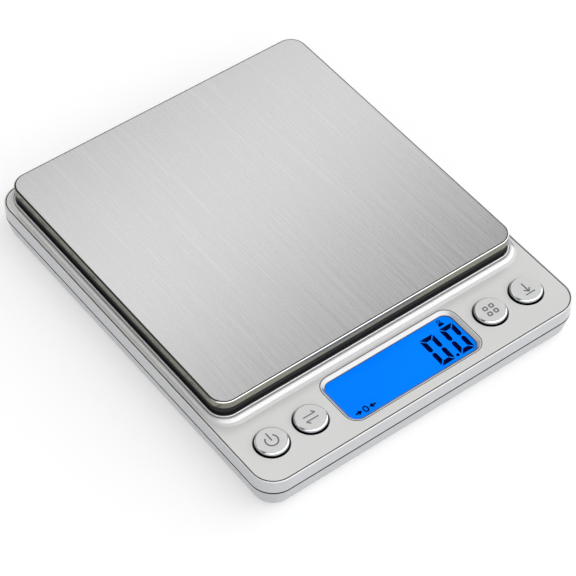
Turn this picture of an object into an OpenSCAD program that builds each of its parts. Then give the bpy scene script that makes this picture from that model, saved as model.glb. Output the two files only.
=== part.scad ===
// Digital gram scale: a flat desktop scale with a square steel platform, a lit display and four keys.
// The origin is on the table under the middle of the housing. +X is to the right, +Y to the rear,
// +Z up. All sizes are in millimetres.

/* [Housing] */
// Width of the housing
body_w = 106; // [105:0.5:110]
// Depth of the housing, front to rear
body_d = 127; // [126.5:0.5:132]
// Corner radius of the housing, seen from above
body_r = 7; // [6:0.5:8]
// Height of the deck above the table
deck_z = 12.6; // [12.6:0.1:13]
// Height of the line where the two housing halves meet
parting_z = 8; // [7.8:0.1:8.2]
// Height of the housing's underside above the table
belly_z = 1.4; // [1.3:0.1:1.4]
// Lean of the lower housing's sides from the vertical, in degrees
side_lean = 13; // [8:1:14]

/* [Platform] */
// Side of the square platform
pan_side = 100; // [99:0.5:100]
// Corner radius of the platform, seen from above
pan_r = 5; // [4.5:0.5:6]
// Height of the platform's top face above the table
pan_top_z = 19; // [19:0.1:20]
// Height of the platform's turned-down edge
pan_edge_h = 2.2; // [2:0.1:2.6]
// Thickness of the platform's steel sheet
sheet = 0.5; // [0.4:0.05:0.6]
// Distance of the platform's middle behind the housing's middle
pan_y = 11; // [10.5:0.1:11]
// How far the platform sinks at full load
pan_travel = 0.4; // [0.3:0.05:0.4]

/* [Controls] */
// Radius of the button caps
button_r = 4.55; // [4.4:0.05:4.6]
// Height of the button caps above the deck
button_proud = 1.1; // [0.8:0.1:1.3]
// Distance of the outer buttons from the middle
outer_button_x = 42.9; // [42.7:0.1:43]
// Distance of the inner buttons from the middle
inner_button_x = 30.35; // [30.3:0.05:30.4]
// How far a button travels
button_travel = 0.3; // [0.2:0.05:0.3]
// Width of the display window at the deck
window_w = 44.4; // [43.4:0.1:44.4]
// Depth of the display window at the deck, front to rear
window_d = 16.4; // [15.8:0.1:16.4]

/* [Battery bay] */
// Radius of the two cells
cell_r = 5.25; // [5:0.05:5.25]
// Length of a cell with its terminal
cell_l = 44.5; // [44:0.1:44.6]

/* [Hidden] */

$fn = 64;
overcut = 0.1;          // how far a cutter passes a face that it opens
fit_gap = 0.1;          // clearance between pieces that seat in each other
shadow_gap = 0.25;      // half the line between the two housing halves

// Housing levels and walls
floor_t = 1.6;
floor_z = belly_z + floor_t;
deck_t = 1.6;
deck_under_z = deck_z - deck_t;
plateau_z = deck_z + 1;                 // top of the raised area under the platform
plateau_under_z = plateau_z - 1.2;
upper_wall = 1.8;
lower_wall = 3;
tongue_in = upper_wall + 0.2;           // inset of the tongue that locates the upper housing
tongue_t = 0.9;
tongue_h = 1.3;
belly_round = 1.5;                      // radius of the edge under the housing
deck_round = 0.3;                       // radius of the deck's outer edge
deck_groove_in = 0.35;                  // inset, width and depth of the line round the deck
deck_groove_w = 0.3;
deck_groove_depth = 0.4;

// Raised area under the platform: a lip, a fine groove and a sloping skirt
lip_out = 0.3;
lip_groove_w = 0.28;
skirt_top = [0.95, 0.95, 0.68];         // reach at the sides and at the front, and height over the deck
skirt_bend = [1.3, 2, 0.22];
skirt_foot = [1.45, 3.3, -0.05];

// Feet and housing screws
foot_r = 4.4;
foot_recess = 0.6;
foot_x = body_w / 2 - 9;
foot_y = body_d / 2 - 9;
post_r = 3;
post_x = body_w / 2 - 7;
post_front_y = -34;
post_rear_y = 40;
housing_screw_r = 1;
housing_head_r = 2;
housing_head_h = 1.4;
housing_head_z = 2.1;

// Load cell: an aluminium beam along X, fixed at its left end
beam_l = 45;
beam_w = 12;
beam_h = 6;
beam_z = 4.6;
beam_top_z = beam_z + beam_h;
beam_screw_near = 13.5;                 // distances of the beam's screws from its middle
beam_screw_far = 19.5;
beam_screw_r = 1.5;
beam_head_r = 2.75;
beam_head_h = 1.8;
beam_base_head_z = 1.5;
gauge_l = 14;
gauge_w = 10;
gauge_t = 0.9;
stop_x = (beam_screw_near + beam_screw_far) / 2;
stop_top_z = beam_z - pan_travel - 0.05;

// Platform plate and its support
pan_edge_round = 0.65;                  // outer radius of the bend round the plate's top
support_in = 0.6;                       // inset from the platform's edge
support_rim_z = plateau_z + pan_travel + 0.15;
support_rib_z = support_rim_z + 0.9;    // the ribs stay clear of the hump over the cells
support_top_z = pan_top_z - sheet - 0.4;
support_plate_t = 1.6;
support_boss_l = 13.4;
support_boss_w = 11;
support_head_z = support_top_z - 2.8;
pad_side = 20;
pad_reach = 30;

// Circuit board, switches and display
pcb_w = 94;
pcb_d = 19.2;
pcb_y = -50.6;
pcb_t = 1.2;
pcb_top_z = deck_under_z - 5.4;
pcb_z = pcb_top_z - pcb_t;
pcb_post_r = 2.2;
pcb_post_x = 36.6;
pcb_post_front_y = -57.6;
pcb_post_rear_y = -44.5;
pcb_screw_r = 0.8;
switch_side = 6;
switch_h = 3.1;
switch_top_z = pcb_top_z + switch_h;
plunger_r = 1.75;
plunger_proud = 0.8;
plunger_top_z = switch_top_z + plunger_proud;
plunger_depth = 0.7;
window_y = -51.4;
window_r = 3.6;
window_bevel = 1;                       // width and depth of the bevel round the window
window_rim_w = 0.25;                    // rim round the bevel and the fine groove outside it
window_groove_w = 0.22;
window_groove_depth = 0.3;
lens_w = window_w + 1.6;
lens_d = window_d + 1.8;
lens_t = 1;
lens_z = deck_z - window_bevel - lens_t - fit_gap;
display_y = window_y + 0.5;
frame_w = 47.2;
frame_d = 18;
frame_wall = 0.7;
frame_top_z = lens_z - 0.2;
glass_w = frame_w - 2 * frame_wall - 2 * fit_gap;
glass_d = frame_d - 2 * frame_wall - 2 * fit_gap;
glass_t = 1.8;
glass_z = frame_top_z - fit_gap - glass_t;
guide_h = glass_z - pcb_top_z - 0.4;

// Buttons
button_y = -51.7;
button_hole_r = button_r + 0.35;
button_round = 0.55;                    // radius of the cap's top edge
button_flange_r = button_r + 1.05;
button_flange_t = 0.7;
button_flange_z = deck_under_z - fit_gap - button_flange_t;
button_top_z = deck_z + button_proud;
button_guide_r = button_flange_r + 0.25;
button_guide_wall = 0.65;
stroke = 0.4;                           // width and depth of the lines cut into the caps
stroke_depth = 0.3;

// Battery bay: two cells side by side along X, reached from below
bay_w = 52.6;
bay_front_y = 31.3;
bay_d = 23.6;
bay_wall = 1.2;
bay_wall_top_z = plateau_under_z - 0.2;
cell_y = [bay_front_y + 6.1, bay_front_y + 17.5];
cell_z = 7.95;
cell_nub_r = 1.9;
cell_nub_l = 1.2;
contact_t = 0.4;
contact_w = 9;
contact_z = 3.2;
contact_top_z = 12;
contact_x = bay_w / 2 - contact_t;      // inner face of the contacts
dimple_l = 1.2;
tab_w = 2;
tab_z = 11;
hump_top_z = plateau_z + 0.7;
hump_under_z = hump_top_z - 0.9;
spring_wire_r = 0.35;
spring_turns = 4;
spring_steps = 12;                      // straight steps in one turn of the wire
spring_sides = 6;

// Battery door: slides to the rear
door_w = 53.6;
door_t = 1.1;
door_z1 = belly_z + door_t;
door_gap = 0.15;
door_front_y = bay_front_y - 0.2;
door_ledge_t = 0.45;
door_tongue = 0.9;
door_tongue_front_y = 34;
door_tongue_l = 22;
grip_count = 5;
grip_pitch = 1.8;

// Wires
lead_r = 0.55;
gauge_wire_r = 0.4;
gauge_wire_pitch = 1.1;
lead_end_y = -43;

// A rectangle with round corners, centred
module rounded_rect(w, d, r) {
    square([w - 2 * r, d], center = true);
    square([w, d - 2 * r], center = true);
    for (sx = [-1, 1], sy = [-1, 1])
        translate([sx * (w / 2 - r), sy * (d / 2 - r)]) circle(r);
}

// A slab with round corners between two heights
module rounded_slab(w, d, r, z0, z1) {
    translate([0, 0, z0]) linear_extrude(z1 - z0) rounded_rect(w, d, r);
}

// A box between two corners
module box(low, high) {
    translate(low) cube(high - low);
}

// A rounded slab whose edge follows the child profile: x runs out from -r to the outline at 0, y is
// the height
module edge_slab(w, d, r, z0, z1) {
    box([-w / 2 + r, -d / 2 + r, z0], [w / 2 - r, d / 2 - r, z1]);
    for (turn = [0:3]) {
        reach = (turn % 2 == 0 ? w : d) / 2;
        half_run = (turn % 2 == 0 ? d : w) / 2 - r;
        rotate(90 * turn) {
            translate([reach, half_run, 0]) rotate([90, 0, 0]) linear_extrude(2 * half_run) children();
            translate([reach - r, half_run, 0]) rotate_extrude(angle = 90) translate([r, 0]) children();
        }
    }
}

// Edge profile with a rounded top corner
module round_top_profile(r, z0, z1, round_r) {
    translate([-r, z0]) square([r - round_r, z1 - z0]);
    translate([-round_r, z0]) square([round_r, z1 - z0 - round_r]);
    intersection() {
        translate([-round_r, z1 - round_r]) circle(round_r);
        translate([-round_r, z1 - round_r]) square(round_r);
    }
}

// Edge profile of the lower housing: leaning side and rounded belly edge
module lower_profile(r, top_z) {
    centre_z = belly_z + belly_round;
    side_x = -(top_z - centre_z) * tan(side_lean);
    centre_x = side_x - belly_round / cos(side_lean);
    touch = [centre_x + belly_round * cos(side_lean), centre_z - belly_round * sin(side_lean)];
    polygon([[-r, belly_z], [centre_x, belly_z], [centre_x, centre_z], touch, [0, top_z], [-r, top_z]]);
    translate([centre_x, centre_z]) circle(belly_round);
}

// The whole outer shape of the lower housing, which the door shares
module lower_outer() {
    top_z = parting_z - shadow_gap;
    edge_slab(body_w, body_d, body_r, belly_z, top_z) lower_profile(body_r, top_z);
}

module at_feet() {
    for (sx = [-1, 1], sy = [-1, 1])
        translate([sx * foot_x, sy * foot_y, 0]) children();
}

module at_posts() {
    for (sx = [-1, 1], y = [post_front_y, post_rear_y])
        translate([sx * post_x, y, 0]) children();
}

module at_pcb_posts() {
    for (sx = [-1, 1], y = [pcb_post_front_y, pcb_post_rear_y])
        translate([sx * pcb_post_x, y, 0]) children();
}

module at_buttons() {
    for (x = [-outer_button_x, -inner_button_x, inner_button_x, outer_button_x])
        translate([x, button_y, 0]) children();
}

// Housing

module lower_housing() {
    cavity_w = body_w - 2 * lower_wall;
    cavity_d = body_d - 2 * lower_wall;
    cavity_r = body_r - lower_wall;
    color([0.80, 0.81, 0.82])
    difference() {
        union() {
            difference() {
                lower_outer();
                rounded_slab(cavity_w, cavity_d, cavity_r, floor_z, parting_z);
            }
            locating_tongue();
            at_posts() translate([0, 0, floor_z - overcut])
                cylinder(r = post_r, h = parting_z - floor_z);
            beam_seat();
            translate([stop_x, pan_y, floor_z - overcut]) cylinder(r = 3.2, h = 1);
            bay_walls();
        }
        at_feet() translate([0, 0, belly_z - overcut])
            cylinder(r = foot_r + fit_gap, h = foot_recess + overcut);
        at_posts()
            screw_well(housing_screw_r + 0.2, housing_head_r + 0.2, housing_head_z + housing_head_h);
        for (x = [beam_screw_near, beam_screw_far])
            translate([-x, pan_y, 0])
                screw_well(beam_screw_r + 0.1, beam_head_r + 0.15, beam_base_head_z + beam_head_h);
        translate([stop_x, pan_y, belly_z - overcut])
            cylinder(r = beam_screw_r, h = floor_z);
        bay_opening();
    }
}

// Ring on top of the lower housing's wall that sits inside the upper housing
module locating_tongue() {
    z0 = parting_z - shadow_gap - overcut;
    z1 = parting_z + tongue_h;
    inner_in = tongue_in + tongue_t;
    difference() {
        rounded_slab(body_w - 2 * tongue_in, body_d - 2 * tongue_in, body_r - tongue_in, z0, z1);
        rounded_slab(body_w - 2 * inner_in, body_d - 2 * inner_in, body_r - inner_in,
                     z0 - overcut, z1 + overcut);
    }
}

// Through hole with a wider well for the head, opened from below
module screw_well(hole_r, well_r, well_top_z) {
    translate([0, 0, belly_z - overcut]) cylinder(r = hole_r, h = parting_z);
    translate([0, 0, belly_z - overcut]) cylinder(r = well_r, h = well_top_z - belly_z + overcut);
}

// Raised pad that carries the fixed end of the load cell
module beam_seat() {
    box([-beam_l / 2 - 0.5, pan_y - 6.5, floor_z - overcut],
        [-beam_screw_near + 3.5, pan_y + 6.5, beam_z]);
}

module bay_walls() {
    outer_w = bay_w + 2 * bay_wall;
    difference() {
        box([-outer_w / 2, bay_front_y - bay_wall, floor_z - overcut],
            [outer_w / 2, bay_front_y + bay_d + bay_wall, bay_wall_top_z]);
        box([-bay_w / 2, bay_front_y, floor_z - 1],
            [bay_w / 2, bay_front_y + bay_d, bay_wall_top_z + 1]);
        for (y = cell_y)
            box([-outer_w / 2 - 1, y - tab_w / 2 - fit_gap, tab_z - fit_gap],
                [-bay_w / 2 + 1, y + tab_w / 2 + fit_gap, bay_wall_top_z + 1]);
    }
}

// The bay's mouth, the pocket that the door slides in and the two grooves for its tongues
module bay_opening() {
    low_z = belly_z - overcut;
    rear_y = body_d / 2 + 1;
    pocket_w = door_w + 2 * door_gap;
    groove_w = pocket_w + 2 * door_tongue + 2 * fit_gap;
    box([-bay_w / 2, bay_front_y, low_z], [bay_w / 2, bay_front_y + bay_d, floor_z + overcut]);
    box([-pocket_w / 2, door_front_y - door_gap, low_z], [pocket_w / 2, rear_y, door_z1 + fit_gap]);
    box([-groove_w / 2, door_front_y - door_gap, belly_z + door_ledge_t - fit_gap],
        [groove_w / 2, rear_y, door_z1 + fit_gap]);
}

module upper_housing() {
    bottom_z = parting_z + shadow_gap;
    color([0.84, 0.83, 0.81])
    difference() {
        union() {
            difference() {
                union() {
                    edge_slab(body_w, body_d, body_r, bottom_z, deck_z)
                        round_top_profile(body_r, bottom_z, deck_z, deck_round);
                    plateau();
                }
                upper_cavity();
            }
            at_posts()
                translate([0, 0, parting_z])
                    cylinder(r = post_r, h = plateau_under_z - parting_z + overcut);
            at_pcb_posts() translate([0, 0, pcb_top_z])
                cylinder(r = pcb_post_r, h = deck_under_z - pcb_top_z + overcut);
            button_guides();
        }
        deck_groove();
        window_groove();
        window_opening();
        at_buttons() button_hole();
        at_posts() translate([0, 0, parting_z - overcut])
            cylinder(r = housing_screw_r, h = deck_under_z - parting_z + 0.5);
        at_pcb_posts() translate([0, 0, pcb_top_z - overcut]) cylinder(r = pcb_screw_r, h = 4.5);
        translate([stop_x, pan_y, deck_under_z])
            cube([support_boss_l + 2, support_boss_w + 2, 2 * deck_t + overcut + 2], center = true);
    }
}

// Raised area under the platform, with the hump over the cells
module plateau() {
    lip_side = pan_side + 2 * lip_out;
    groove_side = lip_side + 2 * lip_groove_w;
    base_z = deck_z - overcut;
    hump_w = bay_w + 2 * bay_wall;
    translate([0, pan_y, 0]) {
        edge_slab(lip_side, lip_side, pan_r + lip_out, base_z, plateau_z)
            round_top_profile(pan_r + lip_out, base_z, plateau_z, 0.25);
        difference() {
            skirt();
            rounded_slab(groove_side, groove_side, pan_r + lip_out + lip_groove_w,
                         deck_z + 0.2, plateau_z + 1);
        }
    }
    box([-hump_w / 2, bay_front_y - bay_wall, plateau_z - overcut],
        [hump_w / 2, bay_front_y + bay_d + bay_wall, hump_top_z]);
}

// Sloping skirt round the raised area: steep above its bend, flatter below it and longer at the front
module skirt() {
    hull() {
        skirt_slab(skirt_top);
        skirt_slab(skirt_bend);
    }
    hull() {
        skirt_slab(skirt_bend);
        skirt_slab(skirt_foot);
    }
}

// Thin slab whose upper edge is one line of the skirt
module skirt_slab(line) {
    thin = 0.05;
    side_out = line[0];
    front_out = line[1];
    top_z = deck_z + line[2];
    translate([0, (side_out - front_out) / 2, 0])
        rounded_slab(pan_side + 2 * side_out, pan_side + side_out + front_out, pan_r + side_out,
                     top_z - thin, top_z);
}

module upper_cavity() {
    cavity_w = body_w - 2 * upper_wall;
    cavity_d = body_d - 2 * upper_wall;
    plateau_side = pan_side - 4;
    rounded_slab(cavity_w, cavity_d, body_r - upper_wall, parting_z, deck_under_z);
    translate([0, pan_y, 0])
        rounded_slab(plateau_side, plateau_side, pan_r - 2, deck_under_z - overcut, plateau_under_z);
    box([-bay_w / 2, bay_front_y, plateau_under_z - overcut],
        [bay_w / 2, bay_front_y + bay_d, hump_under_z]);
}

// Fine line round the deck, just inside its edge
module deck_groove() {
    outer_in = deck_groove_in;
    inner_in = deck_groove_in + deck_groove_w;
    difference() {
        rounded_slab(body_w - 2 * outer_in, body_d - 2 * outer_in, body_r - outer_in,
                     deck_z - deck_groove_depth, deck_z + overcut);
        rounded_slab(body_w - 2 * inner_in, body_d - 2 * inner_in, body_r - inner_in,
                     deck_z - 1, deck_z + 1);
    }
}

// Fine groove that sets off the rim of the window
module window_groove() {
    z0 = deck_z - window_groove_depth;
    rim_out = window_rim_w;
    groove_out = window_rim_w + window_groove_w;
    translate([0, window_y, 0])
        difference() {
            rounded_slab(window_w + 2 * groove_out, window_d + 2 * groove_out, window_r + groove_out,
                         z0, deck_z + overcut);
            rounded_slab(window_w + 2 * rim_out, window_d + 2 * rim_out, window_r + rim_out,
                         z0 - 1, deck_z + 1);
        }
}

// Bevelled window in the deck, with the pocket that holds the lens from below
module window_opening() {
    thin = 0.05;
    inner_w = window_w - 2 * window_bevel;
    inner_d = window_d - 2 * window_bevel;
    inner_r = window_r - window_bevel;
    bevel_z = deck_z - window_bevel;
    translate([0, window_y, 0]) {
        rounded_slab(inner_w, inner_d, inner_r, deck_under_z - 1, deck_z);
        hull() {
            rounded_slab(inner_w, inner_d, inner_r, bevel_z, bevel_z + thin);
            rounded_slab(window_w, window_d, window_r, deck_z, deck_z + thin);
        }
        rounded_slab(lens_w + 2 * fit_gap, lens_d + 2 * fit_gap, 1, deck_under_z - 1, lens_z + lens_t);
    }
}

module button_hole() {
    bevel = 0.2;
    translate([0, 0, button_flange_z]) cylinder(r = button_hole_r, h = deck_z);
    translate([0, 0, deck_z - bevel])
        cylinder(r1 = button_hole_r, r2 = button_hole_r + 2 * bevel, h = 2 * bevel);
    translate([0, 0, button_flange_z - 1])
        cylinder(r = button_guide_r, h = deck_under_z - button_flange_z + 1);
}

// Rings under the deck that guide the button flanges
module button_guides() {
    at_buttons() translate([0, 0, button_flange_z - button_travel])
        cylinder(r = button_guide_r + button_guide_wall,
                 h = deck_under_z - button_flange_z + button_travel + overcut);
}

module battery_door() {
    tongue_z0 = belly_z + door_ledge_t;
    tongue_x = door_w / 2 + door_tongue;
    color([0.80, 0.81, 0.82])
    difference() {
        union() {
            intersection() {
                lower_outer();
                box([-door_w / 2, door_front_y, belly_z - 1], [door_w / 2, body_d, door_z1]);
            }
            box([-tongue_x, door_tongue_front_y, tongue_z0],
                [tongue_x, door_tongue_front_y + door_tongue_l, door_z1]);
        }
        for (i = [0:grip_count - 1])
            translate([-7 + abs(i - 2), door_front_y + 4 + i * grip_pitch, belly_z - overcut])
                cube([14 - 2 * abs(i - 2), 0.8, 0.4]);
    }
}

module foot() {
    color([0.16, 0.16, 0.17])
    rotate_extrude() union() {
        square([foot_r, belly_z + foot_recess - 0.3]);
        translate([0, 0.3]) square([foot_r - 0.01, belly_z + foot_recess - 0.3]);
    }
}

module foot_front_left() translate([-foot_x, -foot_y, 0]) foot();
module foot_front_right() translate([foot_x, -foot_y, 0]) foot();
module foot_rear_left() translate([-foot_x, foot_y, 0]) foot();
module foot_rear_right() translate([foot_x, foot_y, 0]) foot();

// A screw pointing up, with its cross recess cut from below
module screw_up(head_r, head_h, shank_r, length) {
    slot_w = head_r * 0.22;
    difference() {
        union() {
            cylinder(r1 = head_r * 0.85, r2 = head_r, h = head_h / 2);
            translate([0, 0, head_h / 2]) cylinder(r = head_r, h = head_h / 2);
            cylinder(r = shank_r, h = head_h + length);
        }
        for (turn = [0, 90])
            rotate(turn) translate([0, 0, head_h * 0.25 - overcut])
                cube([head_r * 1.1, slot_w, head_h * 0.5 + 2 * overcut], center = true);
    }
}

module housing_screws() {
    color([0.62, 0.63, 0.65])
    at_posts()
        translate([0, 0, housing_head_z])
            screw_up(housing_head_r, housing_head_h, housing_screw_r, 7);
}

// Platform and load cell

module platform_plate() {
    edge_z = pan_top_z - pan_edge_h;
    inner_side = pan_side - 2 * sheet;
    color([0.74, 0.74, 0.74])
    translate([0, pan_y, 0])
    difference() {
        edge_slab(pan_side, pan_side, pan_r, edge_z, pan_top_z)
            round_top_profile(pan_r, edge_z, pan_top_z, pan_edge_round);
        edge_slab(inner_side, inner_side, pan_r - sheet, edge_z - 1, pan_top_z - sheet)
            round_top_profile(pan_r - sheet, edge_z - 1, pan_top_z - sheet, pan_edge_round - sheet);
    }
}

module pan_tape_pads() {
    color([0.92, 0.92, 0.90])
    for (sx = [-1, 1], sy = [-1, 1])
        translate([sx * pad_reach, pan_y + sy * pad_reach, 0])
            rounded_slab(pad_side, pad_side, 2, support_top_z, pan_top_z - sheet);
}

// Black carrier under the steel plate: a ribbed tray with a foot on the load cell's free end
module pan_support() {
    side = pan_side - 2 * support_in;
    hollow_side = side - 4;
    rib_t = 1.4;
    rib_h = support_top_z - support_rib_z;
    color([0.08, 0.08, 0.09])
    difference() {
        union() {
            translate([0, pan_y, 0]) difference() {
                rounded_slab(side, side, pan_r - support_in, support_rim_z, support_top_z);
                rounded_slab(hollow_side, hollow_side, 2,
                             support_rim_z - 1, support_top_z - support_plate_t);
            }
            translate([0, pan_y, (support_rib_z + support_top_z) / 2])
                for (offset = [-32, -16, 0, 16, 32]) {
                    translate([offset, 0, 0]) cube([rib_t, side - 2, rib_h], center = true);
                    translate([0, offset, 0]) cube([side - 2, rib_t, rib_h], center = true);
                }
            translate([stop_x, pan_y, (beam_top_z + support_top_z) / 2])
                cube([support_boss_l, support_boss_w, support_top_z - beam_top_z], center = true);
        }
        for (x = [beam_screw_near, beam_screw_far]) translate([x, pan_y, 0]) {
            translate([0, 0, beam_top_z - overcut]) cylinder(r = beam_screw_r + 0.1, h = 10);
            translate([0, 0, support_head_z]) cylinder(r = beam_head_r + 0.15, h = 5);
        }
    }
}

module cell_pan_screws() {
    color([0.62, 0.63, 0.65])
    for (x = [beam_screw_near, beam_screw_far])
        translate([x, pan_y, support_head_z + beam_head_h]) rotate([180, 0, 0])
            screw_up(beam_head_r, beam_head_h, beam_screw_r, support_head_z - beam_z - 2);
}

// Beam with two round windows joined by a slot, which lets its middle bend
module load_cell() {
    window_x = 5.5;
    color([0.78, 0.79, 0.80])
    difference() {
        box([-beam_l / 2, pan_y - beam_w / 2, beam_z], [beam_l / 2, pan_y + beam_w / 2, beam_top_z]);
        for (sx = [-1, 1])
            translate([sx * window_x, pan_y, beam_z + beam_h / 2]) rotate([90, 0, 0])
                cylinder(r = 2.2, h = beam_w + 2, center = true);
        translate([0, pan_y, beam_z + beam_h / 2]) cube([2 * window_x, beam_w + 2, 1.6], center = true);
        for (x = [-beam_screw_far, -beam_screw_near, beam_screw_near, beam_screw_far])
            translate([x, pan_y, beam_z - overcut])
                cylinder(r = beam_screw_r, h = beam_h + 2 * overcut);
    }
}

// Soft white coating over the strain gauges, above and below the beam
module strain_gauge_covers() {
    color([0.93, 0.93, 0.90])
    translate([0, pan_y, 0]) {
        rounded_slab(gauge_l, gauge_w, 2, beam_top_z, beam_top_z + gauge_t);
        rounded_slab(gauge_l, gauge_w, 2, beam_z - gauge_t, beam_z);
    }
}

module cell_base_screws() {
    color([0.62, 0.63, 0.65])
    for (x = [beam_screw_near, beam_screw_far])
        translate([-x, pan_y, beam_base_head_z])
            screw_up(beam_head_r, beam_head_h, beam_screw_r,
                     beam_top_z - beam_base_head_z - beam_head_h - 1);
}

module overload_stop_screw() {
    low_z = belly_z + 0.2;
    color([0.62, 0.63, 0.65])
    translate([stop_x, pan_y, low_z]) difference() {
        cylinder(r = beam_screw_r, h = stop_top_z - low_z);
        translate([0, 0, -overcut]) cylinder(r = 0.85, h = 1, $fn = 6);
    }
}

// Display

module display_window() {
    color([0.75, 0.85, 0.95, 0.4])
    translate([0, window_y, 0]) rounded_slab(lens_w, lens_d, 0.9, lens_z, lens_z + lens_t);
}

module lcd_glass() {
    color([0.0, 0.48, 1.0])
    translate([0, display_y, glass_z])
        linear_extrude(glass_t) square([glass_w, glass_d], center = true);
}

module lcd_frame() {
    color([0.92, 0.92, 0.92])
    translate([0, display_y, pcb_top_z]) linear_extrude(frame_top_z - pcb_top_z) difference() {
        square([frame_w, frame_d], center = true);
        square([frame_w - 2 * frame_wall, frame_d - 2 * frame_wall], center = true);
    }
}

module backlight_guide() {
    color([0.90, 0.95, 1.0])
    box([-glass_w / 2, display_y - glass_d / 2, pcb_top_z + 0.2],
        [glass_w / 2 - 3, display_y + glass_d / 2 - 2.8, pcb_top_z + 0.2 + guide_h]);
}

module backlight_led() {
    color([0.95, 0.95, 0.85])
    translate([glass_w / 2 - 1.5, display_y - 1, pcb_top_z])
        linear_extrude(1.6) square([1.6, 3], center = true);
}

module zebra_strip() {
    color([0.85, 0.45, 0.55])
    box([-glass_w / 2 + 1, display_y + glass_d / 2 - 2.2, pcb_top_z],
        [glass_w / 2 - 1, display_y + glass_d / 2 - 0.4, glass_z]);
}

// Buttons

// A straight engraved line between two points on a cap, of the stroke's width
module cut_line(from, to) {
    run = to - from;
    translate([from[0], from[1], button_top_z - stroke_depth])
        rotate(atan2(run[1], run[0])) translate([0, -stroke / 2, 0])
            cube([norm(run), stroke, stroke_depth + overcut]);
}

module cut_ring(radius, start_angle, sweep) {
    translate([0, 0, button_top_z - stroke_depth]) rotate(start_angle)
        rotate_extrude(angle = sweep)
            translate([radius - stroke / 2, 0]) square([stroke, stroke_depth + overcut]);
}

// A cap with a rounded edge, a retaining flange and a stem on the switch; children cut its top
module button(x) {
    color([0.85, 0.84, 0.83])
    translate([x, button_y, 0])
    difference() {
        union() {
            translate([0, 0, plunger_top_z])
                cylinder(r = 1.6, h = button_flange_z - plunger_top_z + overcut);
            translate([0, 0, button_flange_z]) cylinder(r = button_flange_r, h = button_flange_t);
            rotate_extrude() translate([button_r, 0])
                round_top_profile(button_r, button_flange_z, button_top_z, button_round);
        }
        children();
    }
}

// Power symbol: an open ring with a bar
module button_power() {
    gap = 40;
    button(-outer_button_x) {
        cut_ring(1.75, 90 + gap, 360 - 2 * gap);
        cut_line([0, -0.1], [0, 2.7]);
    }
}

// Mode symbol: two arrows passing each other
module button_mode() {
    button(-inner_button_x) {
        for (turn = [0, 180]) rotate(turn) {
            cut_line([-1.9, 0.75], [1.9, 0.75]);
            cut_line([1.1, 1.7], [1.95, 0.75]);
        }
    }
}

// Counting symbol: four small pieces
module button_count() {
    half = 0.55;
    button(inner_button_x) {
        for (x = [-1, 1], y = [-1, 1]) translate([x * 1.05, y * 1.05, 0]) {
            for (turn = [0:90:270]) rotate(turn) cut_line([-half, half], [half, half]);
        }
    }
}

// Tare symbol: an arrow down to a base line
module button_tare() {
    button(outer_button_x) {
        cut_line([0, 2.1], [0, -1.1]);
        cut_line([-1, -0.1], [0, -1.2]);
        cut_line([1, -0.1], [0, -1.2]);
        cut_line([-1.6, -1.8], [1.6, -1.8]);
    }
}

module plunger(x) {
    color([0.10, 0.10, 0.11])
    translate([x, button_y, switch_top_z - plunger_depth])
        cylinder(r = plunger_r, h = plunger_proud + plunger_depth);
}

module plunger_power() plunger(-outer_button_x);
module plunger_mode() plunger(-inner_button_x);
module plunger_count() plunger(inner_button_x);
module plunger_tare() plunger(outer_button_x);

// Circuit board

module tact_switches() {
    well = plunger_depth + button_travel + 0.1;
    color([0.20, 0.20, 0.22])
    at_buttons() difference() {
        translate([0, 0, pcb_top_z + switch_h / 2])
            cube([switch_side, switch_side, switch_h], center = true);
        translate([0, 0, switch_top_z - well]) cylinder(r = plunger_r + 0.08, h = well + overcut);
    }
}

module main_pcb() {
    color([0.08, 0.35, 0.20])
    difference() {
        translate([0, pcb_y, pcb_z]) linear_extrude(pcb_t) square([pcb_w, pcb_d], center = true);
        at_pcb_posts() translate([0, 0, pcb_z - 1]) cylinder(r = pcb_screw_r + 0.1, h = 4);
    }
}

module controller_blob() {
    blob_t = 0.8;
    color([0.05, 0.05, 0.05])
    translate([0, pcb_y, pcb_z - blob_t]) cylinder(r1 = 4.6, r2 = 6, h = blob_t);
}

module pcb_screws() {
    head_h = 1;
    color([0.62, 0.63, 0.65])
    at_pcb_posts() translate([0, 0, pcb_z - head_h]) screw_up(1.7, head_h, pcb_screw_r, pcb_t + 4);
}

// Battery bay

module battery_cell(nub_side, y) {
    sleeve_l = cell_l - cell_nub_l;
    tip_x = contact_x - dimple_l;
    translate([nub_side * tip_x, y, cell_z]) rotate([0, -90 * nub_side, 0]) {
        cylinder(r = cell_nub_r, h = cell_nub_l + overcut);
        translate([0, 0, cell_nub_l]) cylinder(r1 = cell_r - 0.4, r2 = cell_r, h = 0.4);
        translate([0, 0, cell_nub_l + 0.4]) cylinder(r = cell_r, h = sleeve_l - 0.7);
        translate([0, 0, cell_nub_l + sleeve_l - 0.3])
            cylinder(r1 = cell_r, r2 = cell_r - 0.3, h = 0.3);
    }
}

module battery_cells() {
    color([0.70, 0.72, 0.75]) {
        battery_cell(1, cell_y[0]);
        battery_cell(-1, cell_y[1]);
    }
}

// One ring of points of the spring's wire, at a given share of its length
function spring_ring(share, length, base_r, tip_r) =
    let (turn = 360 * spring_turns * share, coil_r = base_r + (tip_r - base_r) * share)
    [for (i = [0:spring_sides - 1])
        let (a = 360 * i / spring_sides, reach = coil_r + spring_wire_r * cos(a))
        [reach * cos(turn), reach * sin(turn), length * share + spring_wire_r * sin(a)]];

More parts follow.
